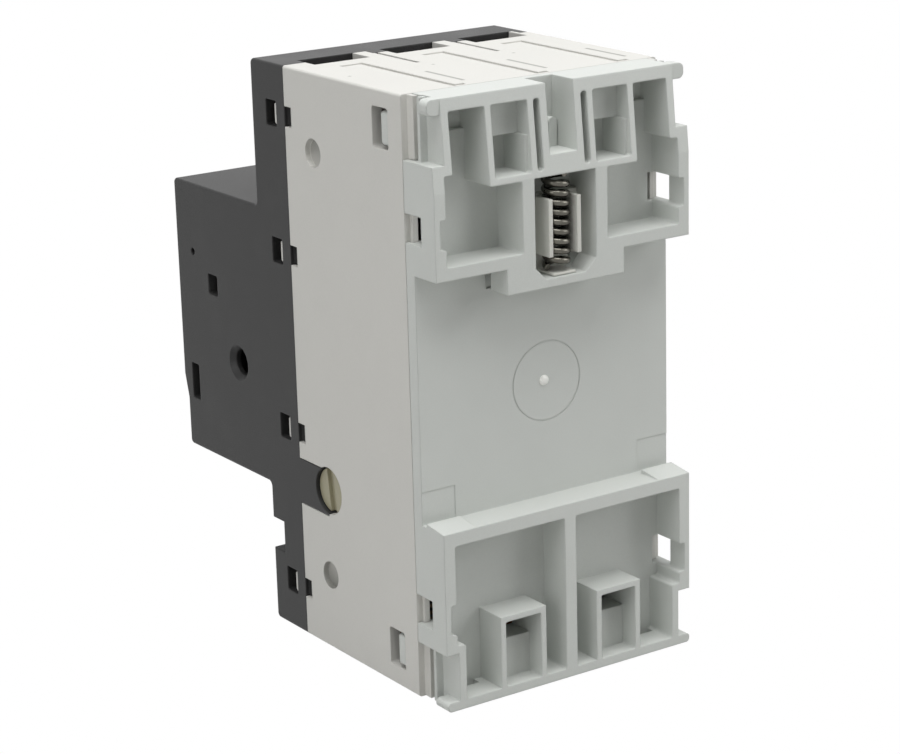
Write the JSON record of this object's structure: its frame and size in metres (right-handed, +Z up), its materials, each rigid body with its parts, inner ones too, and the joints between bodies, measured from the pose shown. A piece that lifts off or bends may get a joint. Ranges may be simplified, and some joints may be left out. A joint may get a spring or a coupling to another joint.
{
  "type": "manual motor starter",
  "caption": "Rail-mounted manual motor starter with rotary knob, setting dial, screw terminals and a sprung catch in its ribbed rear base.",
  "frame": {"origin": "middle of the flat seat face that rests on the mounting rail", "axes": "+Z up along the rail height, +X across the poles, +Y out of the back towards the rail"},
  "size_m": [0.045, 0.0869, 0.09],
  "materials": {
    "dark_plastic": "fine spark-eroded texture",
    "grey_plastic": "smooth moulded",
    "cream_plastic": "smooth moulded",
    "black_plastic": "semi-gloss moulded",
    "spring_steel": "drawn wire, browned",
    "zinc_steel": "zinc plated",
    "copper": "stamped copper alloy",
    "fibre": "fibre and steel plates",
    "winding": "enamelled winding"
  },
  "bodies": {
    "housing": {"front_cover": "dark_plastic", "mid_housing": "grey_plastic", "rear_base": "grey_plastic", "rail_spring": "spring_steel", "line_terminal_bars": "copper", "load_contact_bars": "copper", "load_terminal_bars": "copper", "line_clamp_plates": "zinc_steel", "load_clamp_plates": "zinc_steel", "line_terminal_screws": "zinc_steel", "load_terminal_screws": "zinc_steel", "arc_chute_left": "fibre", "arc_chute_centre": "fibre", "arc_chute_right": "fibre", "trip_coil_left": "winding", "trip_coil_centre": "winding", "trip_coil_right": "winding", "magnet_yokes": "zinc_steel", "bimetal_strips": "zinc_steel", "heater_windings": "winding", "latch_pin": "zinc_steel", "mechanism_frame": "zinc_steel"},
    "rail_catch": {"rail_slider": "grey_plastic"},
    "knob": {"rotary_knob": "black_plastic", "knob_spindle": "zinc_steel", "drive_cam": "cream_plastic"},
    "carrier": {"contact_carrier": "cream_plastic", "contact_bridge_left": "copper", "contact_bridge_centre": "copper", "contact_bridge_right": "copper", "contact_springs": "spring_steel"},
    "shaft": {"switch_shaft": "cream_plastic", "coupling_disc": "cream_plastic"},
    "dial": {"setting_dial": "cream_plastic", "dial_cam": "cream_plastic"},
    "test_button": {"test_slider": "cream_plastic"},
    "trip_link": {"trip_bar": "cream_plastic"},
    "latch": {"latch_lever": "zinc_steel"},
    "striker_left": {"plunger_left": "zinc_steel"},
    "striker_centre": {"plunger_centre": "zinc_steel"},
    "striker_right": {"plunger_right": "zinc_steel"}
  },
  "joints": [
    {"name": "knob_turn", "type": "hinge", "parent": "housing", "child": "knob", "pos_m": [0, -0.05, 0.007], "axis": [0, 1, 0], "range_deg": [0, 90]},
    {"name": "contact_slide", "type": "slide", "parent": "housing", "child": "carrier", "axis": [0, 1, 0], "range_m": [0, 0.0025]},
    {"name": "shaft_turn", "type": "hinge", "parent": "housing", "child": "shaft", "pos_m": [0, -0.0258, -0.0192], "axis": [1, 0, 0], "range_deg": [0, 45]},
    {"name": "dial_turn", "type": "hinge", "parent": "housing", "child": "dial", "pos_m": [-0.013, -0.068, -0.0154], "axis": [0, 1, 0], "range_deg": [0, 270]},
    {"name": "test_slide", "type": "slide", "parent": "housing", "child": "test_button", "axis": [1, 0, 0], "range_m": [0, 0.002], "stiffness_N_per_m": 300, "springref_m": -0.002},
    {"name": "trip_slide", "type": "slide", "parent": "housing", "child": "trip_link", "axis": [1, 0, 0], "range_m": [0, 0.002], "stiffness_N_per_m": 200, "springref_m": -0.002},
    {"name": "latch_turn", "type": "hinge", "parent": "housing", "child": "latch", "pos_m": [0, -0.0397, 0.001], "axis": [-1, 0, 0], "range_deg": [0, 12]},
    {"name": "rail_slide", "type": "slide", "parent": "housing", "child": "rail_catch", "axis": [0, 0, 1], "range_m": [0, 0.0023], "stiffness_N_per_m": 3000, "springref_m": -0.002, "deforming": ["rail_spring"]},
    {"name": "plunger_left_slide", "type": "slide", "parent": "housing", "child": "striker_left", "axis": [0, -1, 0], "range_m": [0, 0.002], "stiffness_N_per_m": 300, "springref_m": -0.002},
    {"name": "plunger_centre_slide", "type": "slide", "parent": "housing", "child": "striker_centre", "axis": [0, -1, 0], "range_m": [0, 0.002], "stiffness_N_per_m": 300, "springref_m": -0.002},
    {"name": "plunger_right_slide", "type": "slide", "parent": "housing", "child": "striker_right", "axis": [0, -1, 0], "range_m": [0, 0.002], "stiffness_N_per_m": 300, "springref_m": -0.002}
  ],
  "couplings": [
    {"joint": "knob_turn", "follows": "contact_slide", "rad_per_m": 628.2},
    {"joint": "shaft_turn", "follows": "contact_slide", "rad_per_m": 314.1},
    {"joint": "latch_turn", "follows": "trip_slide", "rad_per_m": 104.6}
  ]
}
